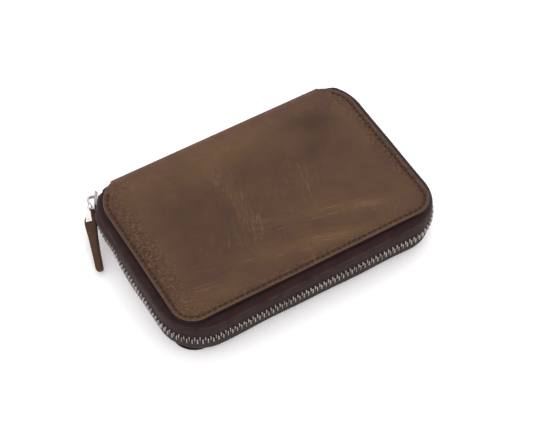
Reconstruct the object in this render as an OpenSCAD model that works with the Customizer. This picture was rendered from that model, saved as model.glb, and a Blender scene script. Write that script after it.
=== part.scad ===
// Zip-around leather pouch: two covers and a spine cut from one hide, closed on three sides by a metal zip.
// It lies flat on its back cover. X runs along the spine, -Y is the zip's front run, Z is up.

/* [Pouch] */
// Length along the spine
pouch_l = 145; // [130:1:160]
// Depth from the spine to the front edge
pouch_d = 97; // [90:1:110]
// Height of the closed pouch
pouch_t = 26; // [25:0.5:30]
// Radius of the covers' two front corners
front_r = 12; // [8:0.5:16]
// Radius of the covers' two rear corners
rear_r = 19; // [16:0.5:22]
// Length of the spine strip
spine_l = 123; // [110:1:125]

/* [Leather and lining] */
// Thickness of the outer leather
leather_t = 2; // [1.6:0.1:2.4]
// Thickness of the stiffening board, which is also the room for the sewn tape
board_t = 0.8; // [0.8:0.1:1.2]
// Thickness of the leather lining
lining_t = 1; // [0.7:0.1:1.2]
// Thickness of one pocket panel
pocket_t = 0.8; // [0.6:0.1:0.9]
// How far each card pocket steps back from the one above it
card_step = 14; // [10:1:16]
// Distance from the covers' edge to the stitch line
stitch_inset = 3.5; // [3:0.1:4.5]
// Length taken by one stitch and its gap
stitch_pitch = 3; // [2.5:0.1:4]

/* [Zip] */
// Distance between teeth on one side
tooth_pitch = 2.5; // [2.4:0.05:2.8]
// Width of the closed chain of teeth
chain_w = 5.8; // [5.4:0.1:6]
// Thickness of the teeth
chain_t = 2.4; // [2.2:0.1:2.5]
// Height of the chain's middle above the base
chain_z = 14; // [13.5:0.1:14.5]
// How far the chain stands out past the covers' edge
chain_out = 3.6; // [3.2:0.1:4.2]
// Radius of the chain's sweep round each rear corner
sweep_r = 28; // [26:0.5:32]
// Radius of the chain's sweep round each front corner
front_sweep = 22; // [18:0.5:24]
// Thickness of the zip tape
tape_t = 0.8; // [0.6:0.05:0.8]

/* [Slider and pull] */
// Length of the slider
slider_l = 11; // [10:0.1:11.2]
// Where the closed slider stands on the rear corner's sweep, in degrees
slider_at = 41; // [38:1:42]
// Direction in which the pull lies, in degrees
pull_heading = 247.5; // [245:0.5:248]
// How far the pull slopes down to the surface, in degrees
pull_droop = 20; // [18:0.5:20]
// Length of the pull from its pivot to its end
pull_l = 36.5; // [30:0.5:37]

/* [Hidden] */
$fn = 64;

hide = [0.40, 0.29, 0.21];
dark_hide = [0.30, 0.21, 0.16];
tape_cloth = [0.26, 0.20, 0.20];
silver = [0.70, 0.68, 0.67];
thread = [0.22, 0.14, 0.10];
board = [0.62, 0.56, 0.46];

half_l = pouch_l / 2;
half_d = pouch_d / 2;
fold_gap = 0.2;                                  // between a cover's rear edge and the spine's round edge
fold_y = half_d - leather_t / 2;                 // both fold axes stand this far back
cover_rear = half_d - leather_t - fold_gap;
lining_inset = 0.8;
inner_rear = cover_rear - 2.2;                   // linings and pockets stop before the spine's layers
flange_w = 7;                                    // width of the tape that is sewn under the cover
board_inset = flange_w + 1;
layer_gap = 0.1;                                 // air between pocket panels

// A cover's outline set in from its edge, with the given radius at its two front corners.
module outline(inset, corner) {
    in_x = half_l - inset - corner;
    in_y = half_d - inset - corner;
    for (side = [-1, 1]) {
        translate([side * in_x, -in_y]) circle(corner);
        translate([side * (half_l - rear_r), half_d - rear_r]) circle(rear_r - inset);
    }
    translate([-in_x, inset - half_d]) square([2 * in_x, half_d]);
    translate([rear_r - half_l, 0]) square([pouch_l - 2 * rear_r, half_d - inset]);
    translate([inset - half_l, -in_y]) square([pouch_l - 2 * inset, in_y + half_d - rear_r]);
}

// A flat sheet with the outline, cut straight at the rear and kept between two stations along X.
// Sheets inside the pouch have wider front corners, so that the zip's tape can sweep round them.
module sheet(z, thick, inset, rear, from_x = -200, to_x = 200) {
    translate([0, 0, z]) linear_extrude(thick) intersection() {
        outline(inset, inset > 0 ? front_sweep - chain_out - inset : front_r);
        translate([from_x, -200]) square([to_x - from_x, 200 + rear]);
    }
}

// The groove that the stitches lie in, open at the spine.
groove_w = 0.9;
groove_deep = 0.45;
stitch_rear = half_d - 6;
module groove(z) {
    translate([0, 0, z]) linear_extrude(groove_deep + 1) intersection() {
        difference() {
            outline(stitch_inset - groove_w / 2, front_r - stitch_inset + groove_w / 2);
            outline(stitch_inset + groove_w / 2, front_r - stitch_inset - groove_w / 2);
        }
        translate([-200, -200]) square([400, 200 + stitch_rear]);
    }
}

// A run parallel to the covers' edge: [x, y, heading] at a distance along it from the front's middle.
// It stands out past the edge by out (negative for inside). Sweep is its radius at the rear corner.
function corner_r(out) = out > 0 ? front_sweep : front_r + out;
function front_part(out) = half_l + out - corner_r(out);
function end_part(out) = pouch_d - rear_r + out - corner_r(out);
function run_length(out, sweep, turn) =
    front_part(out) + corner_r(out) * PI / 2 + end_part(out) + sweep * turn * PI / 180;
function half_run(s, out, sweep) =
    let (r = corner_r(out),
        front = front_part(out),
        corner = r * PI / 2,
        turn = (s - front) / r * 180 / PI,
        climb = s - front - corner,
        rear_turn = (climb - end_part(out)) / sweep * 180 / PI)
    s < front ? [s, -half_d - out, 0]
    : s < front + corner ? [front + r * sin(turn), r - half_d - out - r * cos(turn), turn]
    : climb < end_part(out) ? [half_l + out, r - half_d - out + climb, 90]
    : [half_l + out - sweep * (1 - cos(rear_turn)),
        half_d - rear_r + sweep * sin(rear_turn), 90 + rear_turn];
function run_at(s, out, sweep) =
    let (p = half_run(abs(s), out, sweep))
    s < 0 ? [-p[0], p[1], -p[2]] : p;

module on_run(s, out, sweep, z) {
    p = run_at(s, out, sweep);
    translate([p[0], p[1], z]) rotate([0, 0, p[2]]) children();
}

// ---- covers, boards and linings
module front_cover() {
    color(hide) difference() {
        sheet(pouch_t - leather_t, leather_t, 0, cover_rear);
        groove(pouch_t - groove_deep);
    }
}

module back_cover() {
    color(hide) difference() {
        sheet(0, leather_t, 0, cover_rear);
        groove(-1);
    }
}

// The spine strip's two long edges are round and stand on the fold axes.
module spine_cover() {
    color(hide) rotate([90, 0, 90]) linear_extrude(spine_l, center = true) {
        for (z = [leather_t / 2, pouch_t - leather_t / 2]) translate([fold_y, z]) circle(leather_t / 2);
        translate([half_d - leather_t, leather_t / 2]) square([leather_t, pouch_t - leather_t]);
    }
}

module front_board() {
    color(board) sheet(pouch_t - leather_t - board_t, board_t, board_inset, inner_rear - 1);
}

module back_board() {
    color(board) sheet(leather_t, board_t, board_inset, inner_rear - 1);
}

module spine_layer(depth, thick, shorter) {
    low = leather_t + board_t + lining_t;
    translate([-(spine_l - shorter) / 2, half_d - depth - thick, low])
        cube([spine_l - shorter, thick, pouch_t - 2 * low]);
}

module spine_board() {
    color(board) spine_layer(leather_t, 0.6, 6);
}

module spine_lining() {
    color(dark_hide) spine_layer(leather_t + 0.6, 0.8, 4);
}

lining_low = leather_t + board_t;
lining_high = pouch_t - leather_t - board_t - lining_t;
module front_lining() {
    color(dark_hide) sheet(lining_high, lining_t, lining_inset, inner_rear);
}

module back_lining() {
    color(dark_hide) sheet(lining_low, lining_t, lining_inset, inner_rear);
}

// ---- pockets: each is one panel sewn down on three sides, with its mouth towards -X
card_mouth = -30;
module card_pocket(i) {
    z = lining_high - i * (pocket_t + layer_gap);
    color(hide) sheet(z, pocket_t, lining_inset, inner_rear, card_mouth + (i - 1) * card_step);
}

module card_pocket_1() { card_pocket(1); }
module card_pocket_2() { card_pocket(2); }
module card_pocket_3() { card_pocket(3); }
module card_pocket_4() { card_pocket(4); }

pocket_low = lining_low + lining_t + layer_gap;
module passport_pocket() {
    color(hide) sheet(pocket_low, pocket_t, lining_inset, inner_rear, -52);
}

module note_pocket() {
    color(hide) sheet(pocket_low + pocket_t + layer_gap, pocket_t, lining_inset, inner_rear, 6);
}

// ---- stitching: short bars of thread lying in the groove
module stitches(z) {
    reach = run_length(-stitch_inset, rear_r - stitch_inset, 50);
    count = floor(reach / stitch_pitch);
    stitch_l = stitch_pitch * 0.76;
    color(thread) for (i = [-count:count])
        on_run(i * stitch_pitch, -stitch_inset, rear_r - stitch_inset, z)
            translate([-stitch_l / 2, -0.35, 0]) cube([stitch_l, 0.7, groove_deep - 0.07]);
}

module front_stitching() { stitches(pouch_t - groove_deep + 0.02); }
module back_stitching() { stitches(0.05); }

// ---- zip tapes: each is a flange under its cover and a wall that swells out to the chain
chain_turn = 49;                                 // how far each tape follows the rear corner's sweep
cut_turn = 19;                                   // past this turn the upper tape stands clear of the slider
tape_edge = 1.2;                                 // the teeth grip the tape this far from the chain's middle
cut_edge = 19.8;                                 // height of the upper tape's edge past cut_turn

// The tape's cross-section: X is the distance out past the cover's edge.
module lower_section() {
    o = tape_t / 2;
    z = leather_t;
    polygon([[-flange_w, z + 0.02], [0, z + 0.02], [0.6 * chain_out + o, 4.4], [chain_out + o, 8.6],
        [chain_out + o, chain_z - tape_edge], [chain_out - o, chain_z - tape_edge], [chain_out - o, 8.8],
        [0.6 * chain_out - o, 5.1], [-0.6, z + board_t - 0.02], [-flange_w, z + board_t - 0.02]]);
}

module upper_section() {
    o = tape_t / 2;
    z = pouch_t - leather_t;
    polygon([[-flange_w, z - 0.02], [0, z - 0.02], [0.6 * chain_out + o, 22.6], [chain_out + o, 20.9],
        [chain_out + o, chain_z + tape_edge], [chain_out - o, chain_z + tape_edge], [chain_out - o, 20.7],
        [0.6 * chain_out - o, 22], [-0.6, z - board_t + 0.02], [-flange_w, z - board_t + 0.02]]);
}

// Carries a section along a straight edge that faces the given way.
module straight(at, facing, length) {
    translate([at[0], at[1], 0]) rotate([90, 0, facing]) linear_extrude(length, center = true) children();
}

// Carries a section round three sides, and on round part of each rear corner's sweep.
module three_sides(turn) {
    turn_x = front_part(chain_out);
    turn_y = front_sweep - half_d - chain_out;
    straight([0, -half_d], -90, 2 * turn_x) children();
    for (side = [0, 1]) mirror([side, 0, 0]) {
        translate([turn_x, turn_y]) rotate([0, 0, -90])
            rotate_extrude(angle = 90) translate([front_sweep - chain_out, 0]) children();
        straight([half_l, turn_y + end_part(chain_out) / 2], 0, end_part(chain_out)) children();
    }
    rear_sweeps(0, turn) children();
}

module rear_sweeps(from, to) {
    for (side = [0, 1]) mirror([side, 0, 0])
        translate([half_l + chain_out - sweep_r, half_d - rear_r]) rotate([0, 0, from])
            rotate_extrude(angle = to - from) translate([sweep_r - chain_out, 0]) children();
}

module zip_tape_lower() {
    color(tape_cloth) three_sides(chain_turn) lower_section();
}

module zip_tape_upper() {
    color(tape_cloth) difference() {
        three_sides(chain_turn) upper_section();
        rear_sweeps(cut_turn, chain_turn + 5)
            translate([chain_out - 2, chain_z - 2]) square([4, cut_edge - chain_z + 2]);
    }
}

// ---- teeth: each grips the tape's edge and reaches past the chain's middle, between two opposite teeth
tooth_l = tooth_pitch / 2 - 0.15;
teeth_end = run_length(chain_out, sweep_r, slider_at) + 1;
teeth_start = run_length(chain_out, sweep_r, cut_turn - 3);
module tooth() {
    difference() {
        translate([-tooth_l / 2, -chain_t / 2, -0.6]) cube([tooth_l, chain_t, chain_w / 2 + 0.6]);
        translate([-tooth_l, -tape_t / 2 - 0.06, tape_edge - 0.04])
            cube([2 * tooth_l, tape_t + 0.12, chain_w]);
    }
}

module teeth(shift, up) {
    first = ceil(-teeth_end / tooth_pitch - shift);
    last = floor(teeth_start / tooth_pitch - shift);
    color(silver) for (i = [first:last])
        on_run((i + shift) * tooth_pitch, chain_out, sweep_r, chain_z)
            rotate([up ? 0 : 180, 0, 0]) tooth();
}

module zip_teeth_upper() { teeth(0, true); }
module zip_teeth_lower() { teeth(0.5, false); }

// ---- stops and the tape's sewn-in ends
// A stop is a small staple over the tape's free edge, which comes to the origin from above.
module stop() {
    difference() {
        translate([-1, -1, -0.4]) cube([2, 2, 1.3]);
        translate([-2, -tape_t / 2 - 0.2, 0]) cube([4, tape_t + 0.4, 3]);
    }
}

stop_s = -run_length(chain_out, sweep_r, chain_turn - 2.3);
module top_stop_upper() { color(silver) on_run(stop_s, chain_out, sweep_r, cut_edge - 0.05) stop(); }
module top_stop_lower() {
    color(silver) on_run(stop_s, chain_out, sweep_r, chain_z - tape_edge + 0.05) rotate([180, 0, 0]) stop();
}

module bottom_stop() {
    color(silver) on_run(run_length(chain_out, sweep_r, cut_turn + 3.5), chain_out, sweep_r, chain_z)
        difference() {
            translate([-1.1, -1.1, -chain_w / 2]) cube([2.2, 2.2, chain_w]);
            translate([-2, -tape_t / 2 - 0.06, -chain_w])
                cube([4, tape_t + 0.12, chain_w - tape_edge + 0.05]);
        }
}

// The two tapes' ends are folded in and sewn behind the ends of the spine.
module zip_tail() {
    color(tape_cloth) translate([spine_l / 2 - 1.8, half_d - leather_t - 0.9, 7])
        cube([2.9, 0.8, pouch_t - 14]);
}

module zip_tail_left() { mirror([1, 0, 0]) zip_tail(); }
module zip_tail_right() { zip_tail(); }

// ---- slider: two plates joined by the wedge, with side walls that leave a slot for each tape
plate_t = 1.1;
plate_w = 8.4;
room_in = 1.95;                                  // half widths of the channel, deeper inside the bend
room_out = 1.4;
wall_w = 0.9;
wedge = 0.7;                                     // half the wedge's height
slider_s = -run_length(chain_out, sweep_r, slider_at);
module on_slider() { on_run(slider_s, chain_out, sweep_r, chain_z) children(); }

// In the slider's own frame +X opens the zip, -Y faces outwards and Z is up.
module plate(y) {
    translate([0, y + plate_t / 2, 0]) rotate([90, 0, 0]) linear_extrude(plate_t, center = true)
        polygon([[slider_l / 2, -plate_w / 2 + 0.6], [slider_l / 2, plate_w / 2 - 0.6],
            [1.5 - slider_l / 2, plate_w / 2], [-slider_l / 2, plate_w / 2 - 1.5],
            [0.8 - slider_l / 2, 0], [-slider_l / 2, 1.5 - plate_w / 2],
            [1.5 - slider_l / 2, -plate_w / 2]]);
}

module slider_body() {
    slot_in = 1.2;
    slot_out = 0.65;
    color(silver) on_slider() {
        plate(-room_out - plate_t);
        plate(room_in);
        for (side = [-1, 1]) {
            low = side > 0 ? plate_w / 2 - wall_w : -plate_w / 2;
            translate([1.5 - slider_l / 2, -room_out, low])
                cube([slider_l - 3, room_out - slot_out, wall_w]);
            translate([1.5 - slider_l / 2, slot_in, low]) cube([slider_l - 3, room_in - slot_in, wall_w]);
        }
        // the wedge that parts the teeth
        translate([0, room_in / 2 - room_out / 2, 0]) rotate([90, 0, 0])
            linear_extrude(room_in + room_out, center = true)
                polygon([[-1.6, 0], [-2.6, wedge], [1 - slider_l / 2, wedge], [1 - slider_l / 2, -wedge],
                    [-2.6, -wedge]]);
    }
}

// The bridge is a rounded arch on the outer plate, open underneath for the pull.
bridge_w = 2.2;
bridge_l = 9.6;
bridge_h = 4.1;
bridge_wall = 1.2;
module bridge_shape(l, h, r) {
    translate([-l / 2, -0.2]) square([l, h - r + 0.2]);
    translate([r - l / 2, 0]) square([l - 2 * r, h]);
    for (side = [-1, 1]) translate([side * (l / 2 - r), h - r]) circle(r);
}

module slider_bridge() {
    color(silver) on_slider() translate([0, -room_out - plate_t, 0]) rotate([180, 0, 0])
        linear_extrude(bridge_w, center = true) difference() {
            intersection() {
                bridge_shape(bridge_l, bridge_h, 2);
                translate([-bridge_l, 0]) square([2 * bridge_l, 2 * bridge_h]);
            }
            bridge_shape(bridge_l - 2 * bridge_wall, bridge_h - bridge_wall, 1);
        }
}

// ---- pull: an eye round the bridge, a clamp and a folded leather tab
pivot_x = 2.6;                                   // the pivot in the slider's frame
pivot_out = room_out + plate_t + 1.95;
wire_r = 0.45;
eye_l = 4.6;
eye_h = 5.2;
clamp_start = eye_l;
clamp_end = 12;
tab_start = 6.2;
tab_w = 5.2;
tab_end_w = 4.2;
tab_t = 2;
slider_turn = run_at(slider_s, chain_out, sweep_r);
pivot = [slider_turn[0] + pivot_x * cos(slider_turn[2]) + pivot_out * sin(slider_turn[2]),
    slider_turn[1] + pivot_x * sin(slider_turn[2]) - pivot_out * cos(slider_turn[2]), chain_z];

// In the pull's own frame X runs from the pivot to the tab's end and Y is its width.
module on_pull() {
    translate(pivot) rotate([0, 0, pull_heading]) rotate([0, pull_droop, 0]) children();
}

module bar(from, to) {
    d = to - from;
    l = norm(d);
    translate(from) rotate([0, acos(d[2] / l), atan2(d[1], d[0])]) cylinder(h = l, r = wire_r, $fn = 24);
}

module pull_clamp() {
    h = eye_h / 2;
    color(silver) on_pull() {
        difference() {
            union() {
                bar([0, 0, -h], [0, 0, h]);
                for (z = [-h, h]) {
                    bar([0, 0, z], [eye_l, 0, z]);
                    translate([0, 0, z]) sphere(wire_r, $fn = 24);
                }
                translate([eye_l - 0.5, -0.8, -h - wire_r]) cube([1.6, 1.6, eye_h + 2 * wire_r]);
                translate([0, 0, -1.5]) linear_extrude(3)
                    polygon([[clamp_start, -1.5], [clamp_end, -2.6], [clamp_end, 2.6], [clamp_start, 1.5]]);
            }
            translate([tab_start - 0.05, -5, -tab_t / 2 - 0.02]) cube([20, 10, tab_t + 0.04]);
        }
    }
}

module pull_tab() {
    color(hide) on_pull() translate([0, 0, -tab_t / 2]) linear_extrude(tab_t) {
        polygon([[tab_start, -1.9], [clamp_end, -tab_w / 2], [clamp_end + 3, -tab_w / 2 + 0.1],
            [pull_l - tab_end_w / 2, -tab_end_w / 2], [pull_l - tab_end_w / 2, tab_end_w / 2],
            [clamp_end + 3, tab_w / 2 - 0.1], [clamp_end, tab_w / 2], [tab_start, 1.9]]);
        translate([pull_l - tab_end_w / 2, 0]) circle(tab_end_w / 2);
    }
}

front_cover();
spine_cover();
back_cover();
front_board();
spine_board();
back_board();
front_lining();
spine_lining();
back_lining();
card_pocket_1();
card_pocket_2();
card_pocket_3();
card_pocket_4();
passport_pocket();
note_pocket();
front_stitching();
back_stitching();
zip_tape_upper();
zip_tape_lower();
zip_teeth_upper();
zip_teeth_lower();
top_stop_upper();
top_stop_lower();
bottom_stop();
zip_tail_left();
zip_tail_right();
slider_body();
slider_bridge();
pull_clamp();
pull_tab();
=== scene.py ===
import math

import bpy
import numpy as np
from mathutils import Matrix, Vector


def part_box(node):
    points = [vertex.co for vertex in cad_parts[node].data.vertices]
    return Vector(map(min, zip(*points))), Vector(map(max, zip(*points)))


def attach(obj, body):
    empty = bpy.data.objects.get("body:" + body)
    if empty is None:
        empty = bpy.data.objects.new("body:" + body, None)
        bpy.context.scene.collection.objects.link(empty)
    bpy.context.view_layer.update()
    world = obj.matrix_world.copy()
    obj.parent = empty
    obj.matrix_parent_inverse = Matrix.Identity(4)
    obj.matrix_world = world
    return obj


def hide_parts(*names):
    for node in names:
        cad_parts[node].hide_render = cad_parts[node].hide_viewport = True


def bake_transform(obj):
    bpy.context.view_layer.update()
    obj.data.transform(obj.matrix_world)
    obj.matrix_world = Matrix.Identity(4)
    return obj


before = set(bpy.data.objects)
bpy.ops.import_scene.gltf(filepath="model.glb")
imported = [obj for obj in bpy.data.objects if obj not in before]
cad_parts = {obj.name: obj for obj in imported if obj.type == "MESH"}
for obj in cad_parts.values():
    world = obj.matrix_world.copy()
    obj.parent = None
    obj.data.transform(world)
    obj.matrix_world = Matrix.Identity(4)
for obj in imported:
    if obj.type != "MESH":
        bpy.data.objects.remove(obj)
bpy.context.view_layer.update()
mm = 0.001
print("frame loaded:", len(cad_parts), "CAD nodes")

# the camera's place in metres, its three directions, and its lens and sensor in millimetres
cameraSet = {"place": (-0.24766, -0.41943, 0.65443), "right": (0.85964, -0.51090, 0.00007),
             "down": (-0.40733, -0.68547, -0.60350), "ahead": (0.30837, 0.51876, -0.79736),
             "lens": 108.07, "sensor": 36.0}


def makeCamera(given):
    data = bpy.data.cameras.new("tableCamera")
    data.lens = given["lens"]
    data.sensor_width = given["sensor"]
    data.clip_start = 0.01
    camera = bpy.data.objects.new("tableCamera", data)
    bpy.context.scene.collection.objects.link(camera)
    axes = Matrix((given["right"], [-v for v in given["down"]], [-v for v in given["ahead"]])).transposed()
    camera.matrix_world = Matrix.Translation(given["place"]) @ axes.to_4x4()
    bpy.context.scene.camera = camera


makeCamera(cameraSet)


# sizes taken from the frame, in millimetres
def boxOf(node):
    low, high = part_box(node)
    return np.array(low) / mm, np.array(high) / mm


coverLow, coverHigh = boxOf("front_cover")
halfLength, frontY, topZ = coverHigh[0], coverLow[1], coverHigh[2]
spineY = boxOf("spine_cover")[1][1]
hideThick = coverHigh[2] - coverLow[2]

pouchShape = {
    "frontRadius": 12.0,     # the covers' front corners
    "zipCorner": 22.0,       # radius of the chain's wider sweep round them
    "rearRadius": 19.0,      # the covers' rear corners
    "spineHalf": 61.0,       # half the length of the spine strip
    "foldRadius": 2.4,       # outside radius of the hide where it turns into the spine
    "edgeRound": 0.7,        # how round the cut edge is
    "stitchInset": 2.5,
    "stitchPitch": 3.0,
}
chainShape = {
    "out": 3.9,              # the chain's middle stands this far past the covers' edge
    "plainOut": 3.6,         # the CAD chain's, which the slider and the linings' corners follow
    "sweep": 28.0,           # radius of its sweep round a rear corner
    "height": 13.1,
    "pitch": 2.5,
    "tapeTurn": 49.0,        # degrees of the sweep that the tapes follow
    "sliderTurn": 41.0,      # where the closed slider stands
    "bottomTurn": 16.0,      # where the teeth end on the right
    "tapeEdge": 1.2,         # the tape's edge stops this far from the chain's middle
    "tuck": 1.3,             # the left end's chain is drawn in by this much near the slider
    "drop": 0.5,             # and down by this much
    "endPull": 2.6,          # both ends of the tapes come in by this much round the rear corners
}


def smoothStep(value, low, high):
    share = np.clip((value - low) / (high - low), 0, 1)
    return share * share * (3 - 2 * share)


# The run starts at the middle of the front, turns the front corner, climbs the straight end and sweeps
# round the rear corner: place = start + straight part + radius x (sin, 1 - cos) of the angle turned so far.
def runParts(out):
    radius = pouchShape["zipCorner"] if out > 0 else pouchShape["frontRadius"] + out
    front = halfLength + out - radius
    corner = radius * math.pi / 2
    climb = spineY - pouchShape["rearRadius"] - (frontY - out + radius)
    return radius, front, corner, climb


def edgeRun(s, out, sweep):
    a = np.abs(s)
    side = np.where(s < 0, -1.0, 1.0)
    radius, front, corner, climb = runParts(out)
    turn = np.clip((a - front) / radius, 0, math.pi / 2)
    rear = np.clip((a - front - corner - climb) / sweep, 0, None)
    x = np.minimum(a, front) + radius * np.sin(turn) - sweep * (1 - np.cos(rear))
    y = frontY - out + radius * (1 - np.cos(turn)) + np.clip(a - front - corner, 0, climb)
    return side * x, y + sweep * np.sin(rear), side * (turn + rear)


def runLength(out, sweep, turn):
    _, front, corner, climb = runParts(out)
    return front + corner + climb + sweep * math.radians(turn)


# The zip's own run: the edge's run, drawn in and down where the soft tape gives way.
def zipRun(s):
    out, sweep = chainShape["out"], chainShape["sweep"]
    x, y, heading = edgeRun(s, out, sweep)
    past = np.abs(s) - runLength(out, sweep, 0)
    left = smoothStep(past, -27, -9) * (s < 0)
    pull = chainShape["tuck"] * left + chainShape["endPull"] * smoothStep(np.degrees(past / sweep), 34, 49)
    return x - np.sin(heading) * pull, y + np.cos(heading) * pull, heading, left


# mesh helpers
# Volume of a closed shell: the sum of a . (b x c) / 6 over its triangles. Below zero, its faces point inwards.
def signedVolume(points, quads):
    a, b, c, d = (points[quads[:, k]] for k in range(4))
    return float((a * (np.cross(b, c) + np.cross(c, d))).sum() / 6)


def makePiece(name, points, quads, material, caps=(), values=None, sharp=None):
    points = np.asarray(points, float).reshape(-1, 3)
    quads = np.asarray(quads, int).reshape(-1, 4)
    flip = signedVolume(points - points.mean(0), quads) < 0
    faces = (quads[:, ::-1] if flip else quads).tolist()
    faces += [list(cap)[::-1] if flip else list(cap) for cap in caps]
    mesh = bpy.data.meshes.new(name)
    mesh.from_pydata((points * mm).tolist(), [], faces)
    mesh.polygons.foreach_set("use_smooth", np.ones(len(mesh.polygons), bool))
    for key, value in (values or {}).items():
        layer = mesh.attributes.new(key, "FLOAT", "POINT")
        layer.data.foreach_set("value", np.asarray(value, np.float32).ravel())
    mesh.update()
    if sharp:
        mesh.set_sharp_from_angle(angle=math.radians(sharp))
    piece = bpy.data.objects.new(name, mesh)
    bpy.context.scene.collection.objects.link(piece)
    mesh.materials.append(material)
    return piece


# Quads between neighbouring rows and columns of a grid of points, going round where the columns are closed.
def gridQuads(rows, columns, closeColumns=False):
    steps = columns if closeColumns else columns - 1
    row, column = np.meshgrid(np.arange(rows - 1), np.arange(steps), indexing="ij")
    here, there = row * columns, (row + 1) * columns
    beside = (column + 1) % columns
    return np.stack([here + column, there + column, there + beside, here + beside], -1).reshape(-1, 4)


# Many closed tubes at once: the array is tubes x rings x points round a ring x 3, with a flat cap at both ends.
def manyTubes(rings):
    tubes, count, around, _ = rings.shape
    one = gridQuads(count, around, closeColumns=True)
    starts = np.arange(tubes) * count * around
    quads = (one[None] + starts[:, None, None]).reshape(-1, 4)
    first = np.arange(around)[::-1][None] + starts[:, None]
    last = np.arange(around)[None] + starts[:, None] + (count - 1) * around
    return rings.reshape(-1, 3), quads, np.concatenate([last, first]).tolist()


# Rounds every corner: a quadratic curve between the points a set distance before and after it.
def roundCorners(points, radius, steps=5, closed=True):
    points = np.asarray(points, float)
    t = np.linspace(0, 1, steps)[None, :, None]
    ends = []
    for way in (1, -1):
        chord = np.roll(points, way, 0) - points
        length = np.linalg.norm(chord, axis=1, keepdims=True)
        ends.append((points + chord * np.minimum(radius / length, 0.48))[:, None])
    curve = (1 - t) ** 2 * ends[0] + 2 * t * (1 - t) * points[:, None] + t ** 2 * ends[1]
    if closed:
        return curve.reshape(-1, points.shape[1])
    return np.concatenate([points[:1], curve[1:-1].reshape(-1, points.shape[1]), points[-1:]])


# Outward directions of a closed outline: the chord between its neighbours, turned a quarter.
def outlineNormals(outline):
    chord = np.roll(outline, -1, 0) - np.roll(outline, 1, 0)
    turned = np.stack([chord[:, 1], -chord[:, 0]], 1)
    turned /= np.maximum(np.linalg.norm(turned, axis=1, keepdims=True), 1e-9)
    x, y = outline.T
    area = (x * np.roll(y, -1) - np.roll(x, -1) * y).sum()
    return turned if area > 0 else -turned


# A slab with round edges: rings of the outline, drawn in by edge x (1 - cos) and lowered by edge x (1 - sin).
def slabRings(outline, low, high, edge, steps=3):
    normals = outlineNormals(outline)
    turn = np.linspace(0, math.pi / 2, steps + 1)
    drawIn, lower = edge * (1 - np.sin(turn)), edge * (1 - np.cos(turn))
    rings = list(zip(drawIn, high - lower)) + list(zip(drawIn[::-1], low + lower[::-1]))
    rows = [np.c_[outline - normals * draw, np.full(len(outline), z)] for draw, z in rings]
    return np.array(rows)[None]


# A material with its nodes, and one short call for each kind of node that the finishes below use.
class NodeBench:
    def __init__(self, name):
        self.material = bpy.data.materials.new(name)
        self.material.use_nodes = True
        self.tree = self.material.node_tree
        self.shader = self.tree.nodes["Principled BSDF"]
        self.place = self.tree.nodes.new("ShaderNodeTexCoord").outputs["Object"]

    def link(self, source, target):
        if hasattr(source, "is_linked"):
            self.tree.links.new(source, target)
        else:
            target.default_value = source

    def stretched(self, scale, turn=0.0):
        node = self.tree.nodes.new("ShaderNodeMapping")
        node.vector_type = "TEXTURE"  # turns first, then scales, so the grain itself is turned
        node.inputs["Scale"].default_value = [1 / part for part in scale]
        node.inputs["Rotation"].default_value = (0, 0, math.radians(turn))
        self.link(self.place, node.inputs["Vector"])
        return node.outputs["Vector"]

    def noise(self, scale, detail=3.0, rough=0.55, place=None, bend=0.0):
        node = self.tree.nodes.new("ShaderNodeTexNoise")
        self.link(place or self.place, node.inputs["Vector"])
        node.inputs["Scale"].default_value = scale
        node.inputs["Detail"].default_value = detail
        node.inputs["Roughness"].default_value = rough
        node.inputs["Distortion"].default_value = bend
        return node.outputs["Fac"]

    def cells(self, scale, feature="F1", place=None):
        node = self.tree.nodes.new("ShaderNodeTexVoronoi")
        node.feature = feature
        self.link(place or self.place, node.inputs["Vector"])
        node.inputs["Scale"].default_value = scale
        return node.outputs["Distance"]

    def attribute(self, name):
        node = self.tree.nodes.new("ShaderNodeAttribute")
        node.attribute_name = name
        return node.outputs["Fac"]

    def sum(self, kind, a, b=0.0, c=None, clamp=False):
        node = self.tree.nodes.new("ShaderNodeMath")
        node.operation = kind
        node.use_clamp = clamp
        self.link(a, node.inputs[0])
        self.link(b, node.inputs[1])
        if c is not None:
            self.link(c, node.inputs[2])
        return node.outputs[0]

    def ramp(self, value, low, high, toLow=0.0, toHigh=1.0):
        node = self.tree.nodes.new("ShaderNodeMapRange")
        node.interpolation_type = "SMOOTHSTEP"
        self.link(value, node.inputs["Value"])
        for key, number in (("From Min", low), ("From Max", high), ("To Min", toLow), ("To Max", toHigh)):
            node.inputs[key].default_value = number
        return node.outputs["Result"]

    def colours(self, value, stops):
        node = self.tree.nodes.new("ShaderNodeValToRGB")
        self.link(value, node.inputs["Fac"])
        band = node.color_ramp
        while len(band.elements) < len(stops):
            band.elements.new(0.5)
        for element, (at, colour) in zip(band.elements, stops):
            element.position = at
            element.color = (*colour, 1.0)
        return node.outputs["Color"]

    def mix(self, share, a, b, kind="MIX"):
        node = self.tree.nodes.new("ShaderNodeMix")
        node.data_type = "RGBA"
        node.blend_type = kind
        self.link(share, node.inputs[0])
        for index, value in ((6, a), (7, b)):
            self.link((*value, 1.0) if isinstance(value, tuple) else value, node.inputs[index])
        return node.outputs[2]

    def bump(self, height, distance, strength=1.0, below=None):
        node = self.tree.nodes.new("ShaderNodeBump")
        node.inputs["Strength"].default_value = strength
        node.inputs["Distance"].default_value = distance
        self.link(height, node.inputs["Height"])
        if below is not None:
            self.link(below, node.inputs["Normal"])
        return node.outputs["Normal"]

    def finish(self, colour=None, roughness=None, normal=None, **sockets):
        for value, key in ((colour, "Base Color"), (roughness, "Roughness"), (normal, "Normal")):
            if value is not None:
                self.link((*value, 1.0) if isinstance(value, tuple) else value, self.shader.inputs[key])
        for key, value in sockets.items():
            self.shader.inputs[key.replace("_", " ")].default_value = value
        return self.material


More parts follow.
